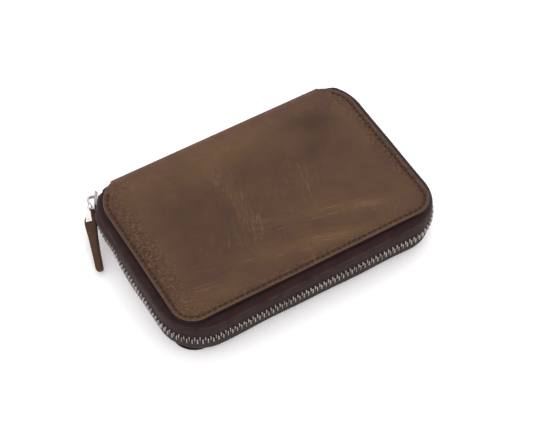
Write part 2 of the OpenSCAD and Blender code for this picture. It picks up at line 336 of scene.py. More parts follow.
hideTones = {
    "deep": (0.046, 0.022, 0.014),
    "brown": (0.078, 0.039, 0.022),
    "olive": (0.104, 0.056, 0.027),
    "tan": (0.190, 0.106, 0.056),
    "red": (0.150, 0.074, 0.060),
    # burnish is the edge's burnished tone, also used as a painted highlight; shade is painted shade
    "burnishAndHighlight": (0.165, 0.100, 0.078),
    "shade": (0.012, 0.006, 0.005),
}


# Waxed pull-up hide: wide clouds from brown to olive, darker rubbed edges, pale cracks where it was folded.
def waxedHide(name):
    bench = NodeBench(name)
    clouds = bench.noise(26, 4, 0.6, bend=0.8)
    mottle = bench.noise(120, 5, 0.62, bend=0.5)
    speck = bench.noise(900, 3, 0.6)
    # patina holds real tone patches on the covers and painted shade on the pull tab
    patinaAndShade = bench.attribute("patinaAndShade")
    edgeFar = bench.attribute("edgeFar")
    wear = bench.attribute("wear")
    tone = bench.sum("MULTIPLY_ADD", clouds, 0.42, bench.sum("ADD", patinaAndShade, 0.04))
    tone = bench.sum("MULTIPLY_ADD", mottle, 0.34, tone)
    tone = bench.sum("MULTIPLY_ADD", speck, 0.10, tone)
    colour = bench.colours(tone, [(0.26, hideTones["deep"]), (0.46, hideTones["brown"]),
                                  (0.66, hideTones["olive"]), (0.98, hideTones["tan"])])
    # pale lines, drawn out along two directions, where the hide has been creased
    steep = bench.noise(1.0, 3, 0.6, bench.stretched((120, 1150, 400), 68), bend=0.7)
    shallow = bench.noise(1.0, 3, 0.6, bench.stretched((80, 1200, 400), -17), bend=0.5)
    broken = bench.ramp(bench.noise(260, 3, 0.6), 0.34, 0.52)
    steepMask = bench.sum("MULTIPLY", bench.ramp(steep, 0.50, 0.62), bench.attribute("crinkle"))
    shallowMask = bench.sum("MULTIPLY", bench.ramp(shallow, 0.50, 0.62), bench.attribute("streak"))
    crackMask = bench.sum("MULTIPLY", bench.sum("MAXIMUM", steepMask, shallowMask), broken, clamp=True)
    colour = bench.mix(bench.sum("MULTIPLY", crackMask, 0.50), colour, hideTones["tan"])
    # the rim is darker for a few millimetres, in broken patches, with close dark specks at the two ends
    patches = bench.ramp(bench.noise(170, 4, 0.65), 0.44, 0.66)
    rubbed = bench.sum("MULTIPLY", bench.ramp(edgeFar, 7.5, 1.5), patches)
    colour = bench.mix(bench.sum("MULTIPLY", rubbed, 0.45), colour, hideTones["deep"])
    dots = bench.sum("MULTIPLY", bench.ramp(bench.noise(820, 2, 0.6), 0.50, 0.60), bench.attribute("specks"))
    colour = bench.mix(bench.sum("MULTIPLY", dots, 0.95, clamp=True), colour, hideTones["deep"])
    pale = bench.sum("MULTIPLY", bench.ramp(bench.noise(640, 2, 0.6), 0.52, 0.62), bench.attribute("specks"))
    colour = bench.mix(bench.sum("MULTIPLY", pale, 0.42, clamp=True), colour, hideTones["tan"])
    wearAndHighlight = bench.sum("MULTIPLY", wear, bench.ramp(mottle, 0.3, 0.7, 0.35, 0.9))
    colour = bench.mix(wearAndHighlight, colour, hideTones["red"])
    # the cut edge is burnished and carries a painted highlight along its top, and painted shade below
    colour = bench.mix(bench.ramp(edgeFar, 0.70, 0.30, 0.0, 0.8), colour, hideTones["burnishAndHighlight"])
    colour = bench.mix(bench.ramp(edgeFar, -0.05, -0.5), colour, hideTones["shade"])
    fromSeam = bench.sum("ABSOLUTE", bench.sum("SUBTRACT", edgeFar, pouchShape["stitchInset"]))
    groove = bench.sum("MULTIPLY", bench.ramp(fromSeam, 0.70, 0.1), bench.attribute("sewn"))
    colour = bench.mix(bench.sum("MULTIPLY", groove, 0.28), colour, hideTones["deep"])
    grain = bench.cells(1500)
    height = bench.sum("MULTIPLY_ADD", grain, 0.30, bench.sum("MULTIPLY", speck, 0.5))
    height = bench.sum("MULTIPLY_ADD", mottle, 0.9, height)
    height = bench.sum("MULTIPLY_ADD", crackMask, 1.0, bench.sum("MULTIPLY_ADD", dots, -0.8, height))
    height = bench.sum("MULTIPLY_ADD", groove, -1.8, height)
    rough = bench.ramp(mottle, 0.3, 0.7, 0.50, 0.66)
    return bench.finish(colour, rough, bench.bump(height, 0.00022, 0.8), Specular_IOR_Level=0.12)


liningTones = {"dark": (0.070, 0.040, 0.027), "light": (0.105, 0.062, 0.041), "edge": (0.150, 0.090, 0.058),
               "crease": (0.030, 0.017, 0.012)}


# Thin smooth leather: a fine even grain and a paler cut edge.
def liningLeather(name):
    bench = NodeBench(name)
    cloud = bench.noise(60, 4, 0.6)
    grain = bench.cells(1300)
    colour = bench.mix(bench.ramp(cloud, 0.35, 0.68), liningTones["dark"], liningTones["light"])
    rim = bench.ramp(bench.attribute("edgeFar"), 0.5, 0.1, 0.0, 0.8)
    colour = bench.mix(rim, colour, liningTones["edge"])
    # a line is pressed 2.2 mm behind each pocket's mouth
    fromLine = bench.sum("ABSOLUTE", bench.sum("SUBTRACT", bench.attribute("mouthFar"), 2.2))
    crease = bench.ramp(fromLine, 0.45, 0.1)
    colour = bench.mix(bench.sum("MULTIPLY", crease, 0.5), colour, liningTones["crease"])
    height = bench.sum("MULTIPLY_ADD", crease, -2.0, bench.sum("MULTIPLY_ADD", cloud, 0.5, grain))
    return bench.finish(colour, bench.ramp(cloud, 0.3, 0.7, 0.52, 0.64), bench.bump(height, 0.00012, 0.7),
                        Specular_IOR_Level=0.35)


# the last tone is a painted reddish highlight for the tape's shoulder
clothTones = {"dark": (0.011, 0.004, 0.004), "light": (0.034, 0.014, 0.013), "wearAndHighlight": (0.070, 0.030, 0.027)}
weaveForm = {"ribs": 11.0, "picks": 7.5, "highlightAt": 11.2}  # turns of the rib and pick waves, and the line of the painted highlight


# Woven tape: warp ribs along the run, crossed by picks half a step apart, paler in places, with a painted
# highlight along its shoulder.
def wovenTape(name):
    bench = NodeBench(name)
    along, across = bench.attribute("tapeRun"), bench.attribute("tapeAcross")
    rib = bench.sum("SINE", bench.sum("MULTIPLY", across, weaveForm["ribs"]))
    row = bench.sum("FLOOR", bench.sum("MULTIPLY", across, weaveForm["ribs"] / math.pi))
    halfStep = bench.sum("MULTIPLY", row, math.pi / 2)
    pick = bench.sum("SINE", bench.sum("MULTIPLY_ADD", along, weaveForm["picks"], halfStep))
    ridge = bench.sum("MULTIPLY_ADD", bench.sum("ABSOLUTE", rib), 0.5, 0.25)
    weave = bench.sum("MULTIPLY_ADD", pick, 0.25, ridge)
    cloud = bench.noise(150, 4, 0.6)
    share = bench.sum("MULTIPLY_ADD", weave, 0.35, bench.ramp(cloud, 0.3, 0.75, 0.1, 0.55), clamp=True)
    colour = bench.mix(share, clothTones["dark"], clothTones["light"])
    # a painted reddish highlight along the line where the tape turns over its shoulder
    fold = bench.ramp(bench.sum("ABSOLUTE", bench.sum("SUBTRACT", across, weaveForm["highlightAt"])), 1.0, 0.1)
    fold = bench.sum("MULTIPLY", fold, bench.ramp(bench.noise(90, 3, 0.6), 0.35, 0.65))
    colour = bench.mix(bench.sum("MULTIPLY", fold, 0.55), colour, clothTones["wearAndHighlight"])
    return bench.finish(colour, 0.78, bench.bump(weave, 0.00010, 0.6), Sheen_Weight=0.08, Sheen_Roughness=0.4,
                        Specular_IOR_Level=0.15)


metalTones = {
    "agedNickel": {"clean": (0.44, 0.39, 0.38), "dull": (0.16, 0.12, 0.12), "rough": (0.28, 0.50)},
    # one nickel in two copies: the slider's is painted darker as painted shade and dark reflection, the clamp's
    # brighter as a painted reflection
    "shadedSatinNickel": {"clean": (0.42, 0.40, 0.39), "dull": (0.28, 0.26, 0.25), "rough": (0.16, 0.32)},
    "litPolishedNickel": {"clean": (0.90, 0.88, 0.87), "dull": (0.74, 0.72, 0.71), "rough": (0.12, 0.28)},
}


# Nickel: bright rubbed crowns, a warm film in the low places, fine drawn scratches.
def nickelPlate(name):
    tones = metalTones[name]
    bench = NodeBench(name)
    film = bench.noise(420, 5, 0.6)
    scratch = bench.noise(1.0, 3, 0.6, bench.stretched((500, 500, 4200), 25))
    colour = bench.mix(bench.ramp(film, 0.40, 0.66), tones["clean"], tones["dull"])
    smooth, scuffed = tones["rough"]
    rough = bench.sum("MULTIPLY_ADD", bench.ramp(scratch, 0.35, 0.7), scuffed - smooth, smooth)
    height = bench.sum("MULTIPLY_ADD", scratch, 0.4, film)
    return bench.finish(colour, rough, bench.bump(height, 0.00003, 0.6), Metallic=1.0)


threadTones = {"dark": (0.034, 0.017, 0.011), "light": (0.070, 0.037, 0.023)}


# Waxed thread: two plies twisted round each other, drawn by the run along each stitch.
def waxedThread(name):
    bench = NodeBench(name)
    ply = bench.sum("SINE", bench.sum("MULTIPLY_ADD", bench.attribute("threadRun"), 9.0,
                                      bench.attribute("threadTurn")))
    colour = bench.mix(bench.ramp(ply, -0.6, 0.9), threadTones["dark"], threadTones["light"])
    return bench.finish(colour, 0.6, bench.bump(ply, 0.00006, 0.7), Specular_IOR_Level=0.12)


boardTones = {"dark": (0.27, 0.22, 0.15), "light": (0.42, 0.36, 0.27)}


# Grey-brown fibre board with short pale fibres.
def fibreBoard(name):
    bench = NodeBench(name)
    fibre = bench.noise(1.0, 5, 0.7, bench.stretched((900, 260, 900), 30))
    colour = bench.mix(bench.ramp(fibre, 0.3, 0.7), boardTones["dark"], boardTones["light"])
    return bench.finish(colour, 0.85, bench.bump(fibre, 0.0001, 0.6))


hideMaterial = waxedHide("waxedHide")
liningMaterial = liningLeather("thinLining")
tapeMaterial = wovenTape("wovenTape")
toothMetal, sliderMetal, clampMetal = (nickelPlate(name) for name in metalTones)
threadMaterial = waxedThread("waxedThread")
boardMaterial = fibreBoard("fibreBoard")
print("materials made")


# Half the hide's width at each depth: straight ends, a round corner at the front, another at the rear that
# runs into the spine strip, drawn in by the same inset all round. The join to the strip is a soft maximum.
def hideHalf(q, inset, corner, spineHalf=None):
    rearR = pouchShape["rearRadius"]
    front = np.clip(frontY + inset + corner - q, 0, corner)
    rear = np.clip(q - (spineY - rearR), 0, rearR - inset)
    half = halfLength - inset - (corner - np.sqrt(np.maximum(corner ** 2 - front ** 2, 0)))
    half -= rearR - inset - np.sqrt(np.maximum((rearR - inset) ** 2 - rear ** 2, 0))
    if spineHalf is None:
        return half
    soft, target = 0.6, spineHalf - inset
    return target + soft * np.logaddexp(0, (half - target) / soft)


# Rows of a cover: close together on the round front corners and in the fold, even between them.
def coverRows(inset, corner, lastRow, step):
    first = frontY + inset + corner * (1 - np.cos(np.linspace(0, math.pi / 2, 15)))
    plain = np.arange(first[-1] + step, spineY - pouchShape["rearRadius"] + 3, step)
    rear = np.arange(plain[-1] + step * 0.7, lastRow, step * 0.7)
    return np.concatenate([first, plain, rear, [lastRow]])


# Distance from each point to the nearest side of a polyline, worked out a few thousand points at a time.
def distanceTo(points, line):
    best = np.full(len(points), 1e9)
    start, end = line[:-1], line[1:]
    chord = end - start
    length2 = np.maximum((chord ** 2).sum(1), 1e-12)
    for part in np.array_split(np.arange(len(points)), max(1, len(points) // 4000)):
        away = points[part, None] - start[None]
        share = np.clip((away * chord).sum(-1) / length2, 0, 1)
        far = np.linalg.norm(away - share[..., None] * chord, axis=-1)
        best[part] = far.min(1)
    return best


# A soft round-ended patch: exp(-(along / length)^2 - (across / width)^2) at a place and turn on the cover.
def softPatch(x, y, patch):
    cx, cy, length, width, turn, amount = patch
    c, s = math.cos(math.radians(turn)), math.sin(math.radians(turn))
    along, across = (x - cx) * c + (y - cy) * s, (y - cy) * c - (x - cx) * s
    return amount * np.exp(-(along / length) ** 2 - (across / width) ** 2)


# x, y, half length, half width, turn and strength of each mark, in millimetres and degrees
hideMarks = {
    "patinaAndShade": [(-32, 34, 34, 13, -3, 0.13), (8, 34, 26, 10, -8, 0.08), (-13, 8, 17, 4, 88, 0.12),
               (21, -1, 10, 6, 70, 0.08), (22, -23, 27, 4, -18, 0.15), (43, -31, 8, 2.4, -22, 0.22),
               (2, -36, 36, 4, -13, 0.14), (26, -41, 14, 2.5, -13, 0.12), (-48, -38, 22, 7, -5, 0.08),
               (46, 28, 11, 7, -30, -0.14), (30, 12, 26, 12, -20, -0.05), (-30, 2, 18, 16, 10, -0.06),
               (58, -8, 8, 24, 0, -0.04), (69, 8, 4, 34, 0, -0.10), (-69, 16, 4, 26, 0, -0.12),
               (62, 20, 8, 18, 0, 0.05), (-60, 0, 8, 30, 0, 0.05)],
    "crinkle": [(-13, 12, 16, 5, 88, 1.0), (20, -1, 11, 8, 70, 1.0), (-12, -12, 9, 7, 80, 0.9),
                (-12, -25, 9, 7, 0, 0.7), (-29, -16, 9, 6, 0, 0.6), (50, -36, 12, 6, -40, 0.4)],
    "streak": [(22, -23, 28, 4.5, -18, 1.0), (43, -31, 8, 3, -22, 1.0), (2, -36, 38, 5, -13, 1.0),
               (-4, -18, 14, 5, -18, 0.7), (-54, -38, 8, 7, 0, 1.0), (-20, 34, 30, 8, -5, 0.3)],
    "specks": [(-66, -4, 6, 42, 0, 1.0), (69, -4, 4, 36, 0, 0.9), (0, -45, 62, 2.6, 0, 0.6),
               (62, 36, 8, 8, 0, 0.5), (-58, 40, 10, 5, 0, 0.5)],
}
waveSet = {"seed": 7, "backSeed": 11, "waves": 12, "shortest": 26.0, "longest": 80.0, "height": 0.16}


# A gentle uneven surface: a sum of sine waves with fixed random directions, lengths and starts.
def gentleWaves(x, y, seed):
    draw = np.random.default_rng(seed)
    total = np.zeros_like(x, float)
    for _ in range(waveSet["waves"]):
        turn, start = draw.uniform(0, math.pi), draw.uniform(0, 2 * math.pi)
        length = draw.uniform(waveSet["shortest"], waveSet["longest"])
        total += np.sin(2 * math.pi * (x * math.cos(turn) + y * math.sin(turn)) / length + start)
    return total * waveSet["height"] / math.sqrt(waveSet["waves"])


coverForm = {"crown": 0.45, "crownWidth": 5.0, "dip": 0.22, "dipWidth": 1.3, "across": 150, "step": 1.0}


# Height of the leather above the plain cover: a low crown inside the seam, a dip along the stitches, and slow
# waves. The face that the pouch rests on never stands out past its crown.
def coverRelief(x, q, edgeFar, seed, resting):
    inside = np.clip(edgeFar - pouchShape["stitchInset"], 0, None)
    crown = coverForm["crown"] * (1 - np.exp(-inside / coverForm["crownWidth"]))
    dip = coverForm["dip"] * np.exp(-((edgeFar - pouchShape["stitchInset"]) / coverForm["dipWidth"]) ** 2)
    flat = np.clip((spineY - 2 - q) / 12, 0, 1)
    rise = (crown - dip + gentleWaves(x, q, seed)) * flat
    return np.minimum(rise - coverForm["crown"], 0) if resting else rise


# The fold: flat up to the bend, then round it at the fold's radius, then straight down the spine to its middle.
def foldedPlace(x, q, depth, flip):
    radius = pouchShape["foldRadius"]
    bend = spineY - radius
    turn = np.clip((q - bend) / radius, 0, math.pi / 2)
    down = np.clip(q - bend - radius * math.pi / 2, 0, None)
    y = np.minimum(q, bend) + radius * np.sin(turn) - depth * np.sin(turn)
    z = topZ - radius * (1 - np.cos(turn)) - down - depth * np.cos(turn)
    return np.stack([x, y, topZ - z if flip else z], -1)


# One sheet of leather: a grid between its left and right edges, an outer and an inner face, and a round rim
# between them. The rim's rings leave the faces' outline by edge x sin and go down by edge x (1 - cos).
# With cutLast, the last row is a cut through the hide and gets a flat face instead of a round rim.
def leatherSheet(name, rows, left, right, across, place, thick, edge, material, relief, cutLast, sewn, extra):
    share = np.linspace(0, 1, across)
    share = 0.7 * share + 0.3 * (0.5 - 0.5 * np.cos(math.pi * share))
    x = left[:, None] + (right - left)[:, None] * share[None]
    q = np.repeat(rows[:, None], across, 1)
    count = len(rows)
    index = np.arange(count * across).reshape(count, across)
    loop = np.concatenate([index[0], index[1:, -1], index[-1, -2::-1], index[-2:0:-1, 0]])
    flatPoints = np.c_[x.ravel(), q.ravel()]
    outline = flatPoints[loop]
    away = outlineNormals(outline)
    onCut = outline[:, 1] > rows[-1] - 1e-6
    if cutLast:
        cutEnds = onCut & (np.abs(outline[:, 0]) > right[-1] - 1e-6)
        away[onCut] = 0
        away[cutEnds, 0] = np.sign(outline[cutEnds, 0])
    trueEdge = outline + away * edge
    line = np.vstack([trueEdge, trueEdge[:1]])
    if cutLast:  # the cut isn't an edge of the hide, so the line starts after it and leaves it out
        line = np.roll(line, -np.argmax(onCut), axis=0)
        line = line[line[:, 1] < rows[-1] - 1e-6]
    edgeFar = distanceTo(flatPoints, line)
    rise = relief(x.ravel(), q.ravel(), edgeFar)
    outer = place(flatPoints[:, 0], flatPoints[:, 1], -rise)
    inner = place(flatPoints[:, 0], flatPoints[:, 1], np.full(len(flatPoints), thick))
    turns = np.linspace(0, math.pi, 9)[1:-1]
    rim = []
    for turn in turns:
        ring = outline + away * edge * np.sin(turn)
        top = -rise[loop] * (1 - (1 - np.cos(turn)) / 2)
        depth = np.where(turn < math.pi / 2, edge * (1 - np.cos(turn)), thick - edge * (1 + np.cos(turn)))
        rim.append(place(ring[:, 0], ring[:, 1], top + depth))
    size, ring = count * across, len(loop)
    faceQuads = gridQuads(count, across)
    points = np.concatenate([outer, *rim, inner])
    innerStart = size + len(turns) * ring
    stack = [loop, *[size + k * ring + np.arange(ring) for k in range(len(turns))], innerStart + loop]
    bands = [np.stack([a, np.roll(a, -1), np.roll(b, -1), b], 1) for a, b in zip(stack[:-1], stack[1:])]
    quads = np.concatenate([faceQuads[:, ::-1], innerStart + faceQuads, *bands])
    rimBurnishHighlightAndShade = np.repeat(np.where(turns < 0.5, 0.3, -1.0), ring)  # burnished with a painted highlight near the top, painted shade below
    values = {"edgeFar": np.concatenate([edgeFar, rimBurnishHighlightAndShade, edgeFar])}
    allX = np.concatenate([flatPoints[:, 0], np.tile(outline[:, 0], len(turns)), flatPoints[:, 0]])
    allQ = np.concatenate([flatPoints[:, 1], np.tile(outline[:, 1], len(turns)), flatPoints[:, 1]])
    values["sewn"] = np.clip((spineY - 6 - allQ) / 2, 0, 1) * sewn
    for key, worked in extra.items():
        values[key] = worked(allX, allQ)
    return makePiece(name, points, quads, material, values=values, sharp=50)


def coverPiece(name, flip, seed, marks):
    edge = pouchShape["edgeRound"]
    last = spineY - pouchShape["foldRadius"] * (1 - math.pi / 2) + topZ / 2 - pouchShape["foldRadius"]
    corner = pouchShape["frontRadius"] - edge
    rows = coverRows(edge, corner, last, coverForm["step"])
    half = hideHalf(rows, edge, corner, pouchShape["spineHalf"])

    def wearAndHighlight(x, q):
        fold = spineY - pouchShape["foldRadius"] / 2
        return 0.75 * np.exp(-((q - fold) / 2.2) ** 2) + 0.25 * np.exp(-((q - fold + 6) / 6) ** 2)

    extra = {key: (lambda x, q, key=key: sum(softPatch(x, q, patch) for patch in marks[key])) for key in marks}
    extra["wear"] = wearAndHighlight
    return leatherSheet(name, rows, -half, half, coverForm["across"],
                        lambda x, q, depth: foldedPlace(x, q, depth, flip), hideThick, edge, hideMaterial,
                        lambda x, q, far: coverRelief(x, q, far, seed, flip), True, 1.0, extra)


frontHide = coverPiece("frontHide", False, waveSet["seed"], hideMarks)
backMarks = {
    "patinaAndShade": [(20, 10, 40, 24, 20, 0.08), (-34, -20, 24, 12, -30, -0.08), (40, -26, 20, 10, 10, 0.10)],
    "crinkle": [(-20, 6, 20, 10, 30, 0.7)],
    "streak": [(34, -18, 16, 8, -20, 0.6)],
    "specks": [(-66, 0, 5, 40, 0, 0.7), (67, 0, 5, 40, 0, 0.7)],
}
backHide = coverPiece("backHide", True, waveSet["backSeed"], backMarks)
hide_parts("front_cover", "spine_cover")
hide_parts("back_cover")
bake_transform(frontHide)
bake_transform(backHide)
print("covers and spine made")


stitchForm = {"length": 2.5, "radius": 0.34, "slant": 5.0, "rise": 0.16, "dive": 0.55, "pressed": 0.22,
              "lastTurn": 50.0}


# Stitches lie along the seam. Each is a tube whose middle line stands at rise - (rise + dive) x t^4.
def stitchRow(name, flip, seed):
    inset, pitch = pouchShape["stitchInset"], pouchShape["stitchPitch"]
    sweep = pouchShape["rearRadius"] - inset
    reach = runLength(-inset, sweep, stitchForm["lastTurn"])
    number = np.arange(-int(reach / pitch), int(reach / pitch) + 1)
    x, y, heading = edgeRun(number * pitch, -inset, sweep)
    tilt = heading + math.radians(stitchForm["slant"])
    t = np.linspace(-1, 1, 9)
    radius = stitchForm["radius"] * np.sqrt(np.clip(1 - t ** 6 * 0.75, 0.05, 1))
    around = np.linspace(0, 2 * math.pi, 8, endpoint=False)
    lift = stitchForm["rise"] - (stitchForm["rise"] + stitchForm["dive"]) * t ** 4
    if flip:
        lift = lift - stitchForm["pressed"]  # the pouch lies on these
    along = t * stitchForm["length"] / 2
    base = coverRelief(x, y, np.full(len(x), inset), seed, flip)
    cx = x[:, None] + along * np.cos(tilt)[:, None]
    cy = y[:, None] + along * np.sin(tilt)[:, None]
    sideways = radius[:, None] * np.cos(around)
    upward = radius[:, None] * np.sin(around)
    px = cx[..., None] - sideways * np.sin(tilt)[:, None, None]
    py = cy[..., None] + sideways * np.cos(tilt)[:, None, None]
    pz = topZ + base[:, None, None] + (lift[:, None] + upward)[None]
    rings = np.stack([px, py, np.broadcast_to(topZ - pz if flip else pz, px.shape)], -1)
    points, quads, caps = manyTubes(rings)
    run = np.broadcast_to(along[None, :, None], px.shape)
    turn = np.broadcast_to(around[None, None], px.shape)
    piece = makePiece(name, points, quads, threadMaterial, caps, {"threadRun": run, "threadTurn": turn})
    return piece


frontStitching = stitchRow("frontStitching", False, waveSet["seed"])
backStitching = stitchRow("backStitching", True, waveSet["backSeed"])
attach(frontStitching, "front")
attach(backStitching, "back")
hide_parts("front_stitching")
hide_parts("back_stitching")
print("stitching made")

tapeForm = {"thick": 0.8, "flange": 7.0, "bulge": 3.7, "lowBulge": 3.2, "bead": 0.35, "ripple": 0.16,
            "spacing": 1.5, "puff": 1.5, "puffHeight": 18.3}


# Cubic curve: (1 - t)^3 a + 3 (1 - t)^2 t b + 3 (1 - t) t^2 c + t^3 d.
def bezier(t, a, b, c, d):
    return (1 - t) ** 3 * a + 3 * (1 - t) ** 2 * t * b + 3 * (1 - t) * t ** 2 * c + t ** 3 * d


# The tape's middle line in section: flat under the cover, a round shoulder, then straight to the teeth.
def tapeMiddle(upper):
    thick = tapeForm["thick"]
    coverFace = topZ - hideThick
    bulge = tapeForm["bulge" if upper else "lowBulge"]
    flat = np.stack([np.linspace(-tapeForm["flange"], -0.4, 5), np.full(5, coverFace - thick / 2 - 0.02)], 1)
    t = np.linspace(0, 1, 9)[1:, None]
    start, end = flat[-1], np.array([bulge, coverFace - 4.3])
    pull = [start + (2.2, 0.0), end + (0.0, 2.6)]
    line = np.concatenate([flat, bezier(t, start, *pull, end)])
    if not upper:
        line[:, 1] = topZ - line[:, 1]
    foot = line[-1]
    edge = chainShape["height"] + (1 if upper else -1) * chainShape["tapeEdge"]
    k = np.linspace(0, 1, 8)[1:, None]
    return np.concatenate([line, foot + (np.array([chainShape["out"], edge]) - foot) * k])


# The section is the middle line with half the thickness to each side, thicker at the bead that the teeth grip.
def tapeSection(upper):
    line = tapeMiddle(upper)
    step = np.gradient(line, axis=0)
    normal = np.stack([step[:, 1], -step[:, 0]], 1) / np.linalg.norm(step, axis=1, keepdims=True)
    half = np.full(len(line), tapeForm["thick"] / 2)
    half[-2:] += tapeForm["bead"] * 0.5
    across = np.concatenate([[0], np.cumsum(np.linalg.norm(np.diff(line, axis=0), axis=1))])
    ring = np.concatenate([line + normal * half[:, None], (line - normal * half[:, None])[::-1]])
    return ring, np.concatenate([across, across[::-1]])


def tapePiece(name, upper):
    ring, across = tapeSection(upper)
    reach = runLength(chainShape["out"], chainShape["sweep"], chainShape["tapeTurn"])
    s = np.linspace(-reach, reach, int(2 * reach / tapeForm["spacing"]))
    x, y, heading, left = zipRun(s)
    draw = np.random.default_rng(21 if upper else 22)
    ripple = sum(np.sin(s / draw.uniform(5, 16) + draw.uniform(0, 6)) for _ in range(6))
    ripple *= tapeForm["ripple"] / 2.4
    face = np.clip((tapeForm["bulge"] + 1.0 - np.abs(ring[:, 0] - 2.2)) / 3.4, 0, 1) * (ring[:, 0] > 0)
    free = np.clip(np.abs(ring[:, 1] - chainShape["height"]) / 3 - 0.5, 0, 1) * face
    puff = tapeForm["puff"] * np.exp(-((ring[:, 1] - tapeForm["puffHeight"]) / 2.5) ** 2) * (ring[:, 0] > 1)
    past = np.abs(s) - runLength(chainShape["out"], chainShape["sweep"], 0)
    full = left * (1 - smoothStep(past, 6, 15))
    shift = ring[None, :, 0] - chainShape["out"] + ripple[:, None] * free[None] + full[:, None] * puff[None]
    px = x[:, None] + np.sin(heading)[:, None] * shift
    py = y[:, None] - np.cos(heading)[:, None] * shift
    near = np.clip(1 - np.abs(ring[:, 1] - chainShape["height"]) / 9, 0, 1)
    pz = ring[None, :, 1] - chainShape["drop"] * left[:, None] * near[None]
    points, quads, caps = manyTubes(np.stack([px, py, pz], -1)[None])
    values = {"tapeRun": np.repeat(s, len(ring)), "tapeAcross": np.tile(across, len(s))}
    piece = makePiece(name, points, quads, tapeMaterial, caps, values, sharp=60)
    return piece


tapeUpper = tapePiece("tapeUpper", True)
tapeLower = tapePiece("tapeLower", False)
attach(tapeUpper, "front")
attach(tapeLower, "back")
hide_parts("zip_tape_upper")
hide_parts("zip_tape_lower")

endForm = {"rise": 6.4, "spread": 3.4, "steps": 13, "columns": 6, "outPull": 1.6}


# A tape's end leaves the sweep, turns in round the spine's end and is caught behind it: one cubic curve.
def tapeEnd(name, side, upper):
    turn = runLength(chainShape["out"], chainShape["sweep"], chainShape["tapeTurn"])
    x, y, heading, _ = (float(v[0]) for v in zipRun(np.array([turn - 0.2])))
    ahead = np.array([math.cos(heading), math.sin(heading)])
    start = np.array([x, y])
    end = np.array([pouchShape["spineHalf"] - 0.6, spineY - hideThick - 0.5])
    t = np.linspace(0, 1, endForm["steps"])[:, None]
    pull = [start + ahead * endForm["outPull"], end + (3.4, 0.6)]
    line = bezier(t, start, *pull, end)
    step = np.gradient(line, axis=0)
    normal = np.stack([step[:, 1], -step[:, 0]], 1) / np.linalg.norm(step, axis=1, keepdims=True)
    near, far = chainShape["tapeEdge"], endForm["rise"] + endForm["spread"] * smoothStep(t[:, 0], 0.05, 0.75)
    up, count = (1 if upper else -1), endForm["columns"]
    k = np.linspace(0, 1, count)[None]
    high = chainShape["height"] + up * (near + (far[:, None] - near) * k)
    half = tapeForm["thick"] / 2
    outer = np.concatenate([np.repeat((line + normal * half)[:, None], count, 1), high[..., None]], -1)
    inner = np.concatenate([np.repeat((line - normal * half)[:, None], count, 1), high[..., None]], -1)
    rings = np.concatenate([outer, inner[:, ::-1]], 1)
    rings[..., 0] *= side
    points, quads, caps = manyTubes(rings[None])
    run = np.concatenate([[0], np.cumsum(np.linalg.norm(np.diff(line, axis=0), axis=1))])
    values = {"tapeRun": np.repeat(run, 2 * count), "tapeAcross": rings[..., 2].ravel()}
    piece = makePiece(name, points, quads, tapeMaterial, caps, values, sharp=60)
    if upper:
        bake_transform(piece)
    else:
        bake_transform(piece)
    return piece


for side, word in ((-1, "Left"), (1, "Right")):
    tapeEnd("tapeEndUpper" + word, side, True)
    tapeEnd("tapeEndLower" + word, side, False)
print("tapes made")

# Rings of one tooth from its leg ends to its tip: height from the chain's middle, half length, half thickness.
toothForm = [(2.70, 0.22, 0.80), (2.50, 0.38, 1.10), (1.90, 0.42, 1.20), (1.20, 0.42, 1.20),
             (0.75, 0.36, 1.20), (0.30, 0.38, 1.16), (-0.15, 0.46, 1.08), (-0.45, 0.42, 0.92),
             (-0.62, 0.28, 0.66)]


# A ring is a rectangle with cut corners, so eight points are enough for a small part.
def boxyRing(halfX, halfY, corner=0.62):
    px = np.array([1, 1, corner, -corner, -1, -1, -corner, corner]) * halfX
    py = np.array([-corner, corner, 1, 1, corner, -corner, -1, -1]) * halfY
    return px, py


def chainParts(s, form, up, height):
    x, y, heading, left = zipRun(s)
    drop = chainShape["drop"] * left
    rings = []
    for rise, halfX, halfY in form:
        px, py = boxyRing(halfX, halfY)
        c, n = np.cos(heading)[:, None], np.sin(heading)[:, None]
        z = np.repeat((height + (rise if up else -rise) - drop)[:, None], 8, 1)
        rings.append(np.stack([x[:, None] + c * px - n * py, y[:, None] + n * px + c * py, z], -1))
    return manyTubes(np.stack(rings, 1))


def teethPiece(name, up):
    shift = 0.0 if up else 0.5
    pitch = chainShape["pitch"]
    left = runLength(chainShape["out"], chainShape["sweep"], chainShape["sliderTurn"]) + 1
    right = runLength(chainShape["out"], chainShape["sweep"], chainShape["bottomTurn"])
    number = np.arange(math.ceil(-left / pitch - shift), math.floor(right / pitch - shift) + 1)
    points, quads, caps = chainParts((number + shift) * pitch, toothForm, up, chainShape["height"])
    return makePiece(name, points, quads, toothMetal, caps, sharp=40)


teethUpper = teethPiece("teethUpper", True)
teethLower = teethPiece("teethLower", False)
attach(teethUpper, "front")
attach(teethLower, "back")
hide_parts("zip_teeth_upper")
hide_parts("zip_teeth_lower")

stopForm = [(1.5, 0.75, 0.85), (1.3, 1.0, 1.05), (0.2, 1.0, 1.05), (0.0, 0.75, 0.85)]
bottomForm = [(2.9, 0.8, 0.9), (2.6, 1.1, 1.15), (-2.6, 1.1, 1.15), (-2.9, 0.8, 0.9)]


def stopPiece(name, s, form, up, height, node, body):
    points, quads, caps = chainParts(np.array([s]), form, up, height)
    piece = makePiece(name, points, quads, toothMetal, caps, sharp=40)
    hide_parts(node)
    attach(piece, body)
    return piece


